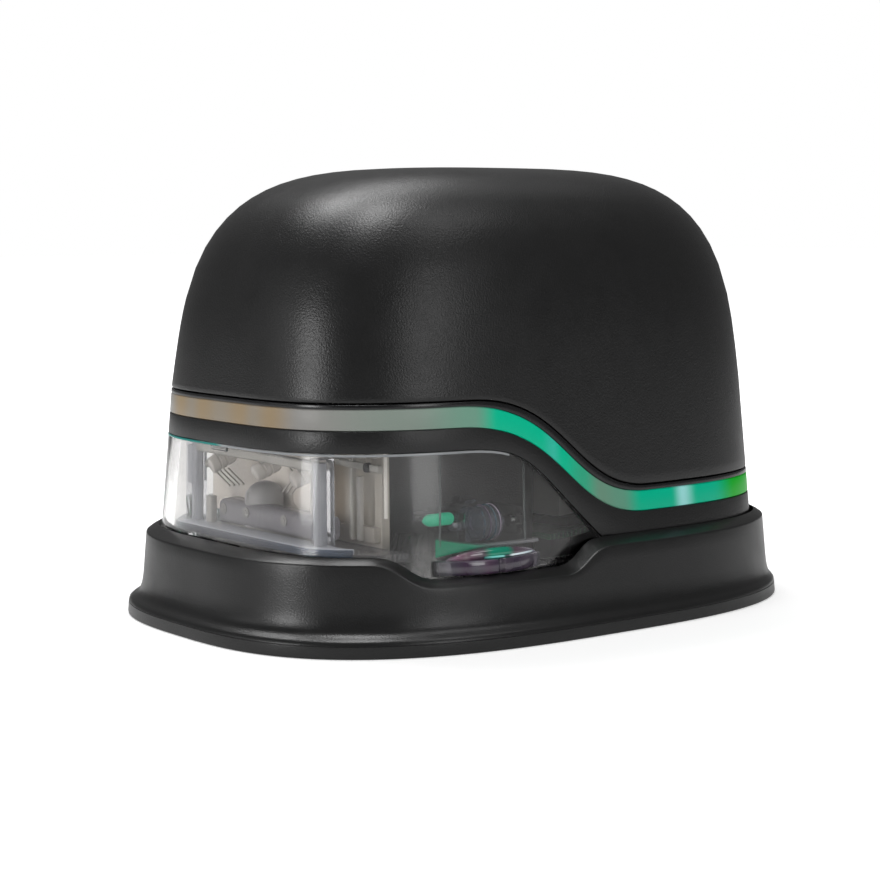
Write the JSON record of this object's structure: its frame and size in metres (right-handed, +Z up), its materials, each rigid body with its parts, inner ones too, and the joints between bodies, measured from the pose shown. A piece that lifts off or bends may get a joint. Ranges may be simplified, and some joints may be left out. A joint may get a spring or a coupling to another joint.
{
  "type": "handheld digital stamp printer with dock",
  "caption": "Domed handheld inkjet stamp printer with a light band and a clear window over its rollers, standing in a flared charging dock.",
  "frame": {"origin": "middle of the dock's footprint, on the surface it stands on", "axes": "+Z up, +Y from the clear front towards the socket at the rear, +X to the right, the way the printer rolls"},
  "size_m": [0.0886, 0.1198, 0.0784],
  "materials": {
    "dock_black": "fine-grained moulding, matte",
    "shell_black": "fine-grained moulding, matte",
    "trim_black": "glossy",
    "light_guide": "frosted, lit from behind",
    "clear_plastic": "clear, polished",
    "black_rubber": "soft, matte",
    "circuit_green": "solder-masked",
    "chip_black": "moulded",
    "steel": "bright",
    "contact_gold": "plated",
    "natural_plastic": "unpainted moulding",
    "cartridge_black": "matte",
    "battery_wrap": "wrapped",
    "frosted_plastic": "frosted, pale",
    "smoke_grey": "satin moulding"
  },
  "bodies": {
    "dock": {"dock_shell": "dock_black", "dock_bottom_cover": "dock_black", "dock_feet": "black_rubber", "dock_circuit_board": "circuit_green", "dock_usb_socket": "steel", "dock_contact_block": "dock_black", "nozzle_cap_pad": "black_rubber"},
    "dock_pins": {"dock_contact_pins": "contact_gold"},
    "device": {"clear_skirt": "clear_plastic", "lower_housing": "shell_black", "light_band": "light_guide", "seam_trim": "trim_black", "base_chassis": "shell_black", "front_deck": "frosted_plastic", "lamp_bridge": "frosted_plastic", "sensor_dome": "smoke_grey", "front_frame": "frosted_plastic", "cartridge_holder": "cartridge_black", "cartridge_contact_board": "circuit_green", "board_posts": "chip_black", "main_circuit_board": "circuit_green", "board_components": "chip_black", "battery_cradle": "natural_plastic", "charging_contacts": "contact_gold", "lamp_boards": "circuit_green", "left_bearing_blocks": "clear_plastic", "left_drum_frame": "clear_plastic", "left_motion_sensor": "chip_black", "left_light_baffle": "clear_plastic", "right_bearing_blocks": "clear_plastic", "right_drum_frame": "clear_plastic", "right_motion_sensor": "chip_black", "right_light_baffle": "clear_plastic"},
    "hood": {"hood": "shell_black"},
    "cartridge": {"ink_cartridge": "cartridge_black", "cartridge_lid": "cartridge_black", "nozzle_plate": "steel", "cartridge_contact_pads": "contact_gold"},
    "battery": {"battery_pack": "battery_wrap"},
    "power_button": {"power_button": "shell_black"},
    "left_roller": {"left_axle": "steel", "left_tyres": "black_rubber", "left_drive_gear": "chip_black"},
    "left_drum": {"left_motion_drum": "clear_plastic"},
    "right_roller": {"right_axle": "steel", "right_tyres": "black_rubber", "right_drive_gear": "chip_black"},
    "right_drum": {"right_motion_drum": "clear_plastic"}
  },
  "joints": [
    {"name": "device_lift", "type": "slide", "parent": "dock", "child": "device", "axis": [0, 0, 1], "range_m": [0, 0.04]},
    {"name": "hood_lift", "type": "slide", "parent": "device", "child": "hood", "axis": [0, 0, 1], "range_m": [0, 0.06]},
    {"name": "cartridge_slide", "type": "slide", "parent": "device", "child": "cartridge", "axis": [0, 0, 1], "range_m": [0, 0.025]},
    {"name": "battery_slide", "type": "slide", "parent": "device", "child": "battery", "axis": [0, 0, 1], "range_m": [0, 0.015]},
    {"name": "power_button_press", "type": "slide", "parent": "device", "child": "power_button", "axis": [0, 0, 1], "range_m": [0, 0.0008], "stiffness_N_per_m": 600, "springref_m": -0.0008},
    {"name": "dock_pins_press", "type": "slide", "parent": "dock", "child": "dock_pins", "axis": [0, 0, -1], "range_m": [0, 0.0008], "stiffness_N_per_m": 300, "springref_m": -0.0008},
    {"name": "left_roller_spin", "type": "hinge", "parent": "device", "child": "left_roller", "pos_m": [-0.0283, 0, 0.0101], "axis": [0, 1, 0], "continuous": true},
    {"name": "left_drum_spin", "type": "hinge", "parent": "device", "child": "left_drum", "pos_m": [-0.0283, -0.018, 0.0186], "axis": [0, 1, 0], "continuous": true},
    {"name": "right_roller_spin", "type": "hinge", "parent": "device", "child": "right_roller", "pos_m": [0.0283, 0, 0.0101], "axis": [0, 1, 0], "continuous": true},
    {"name": "right_drum_spin", "type": "hinge", "parent": "device", "child": "right_drum", "pos_m": [0.0283, -0.018, 0.0186], "axis": [0, 1, 0], "continuous": true}
  ],
  "couplings": [
    {"joint": "left_drum_spin", "follows": "left_roller_spin", "ratio": -0.88889},
    {"joint": "right_drum_spin", "follows": "right_roller_spin", "ratio": -0.88889}
  ]
}
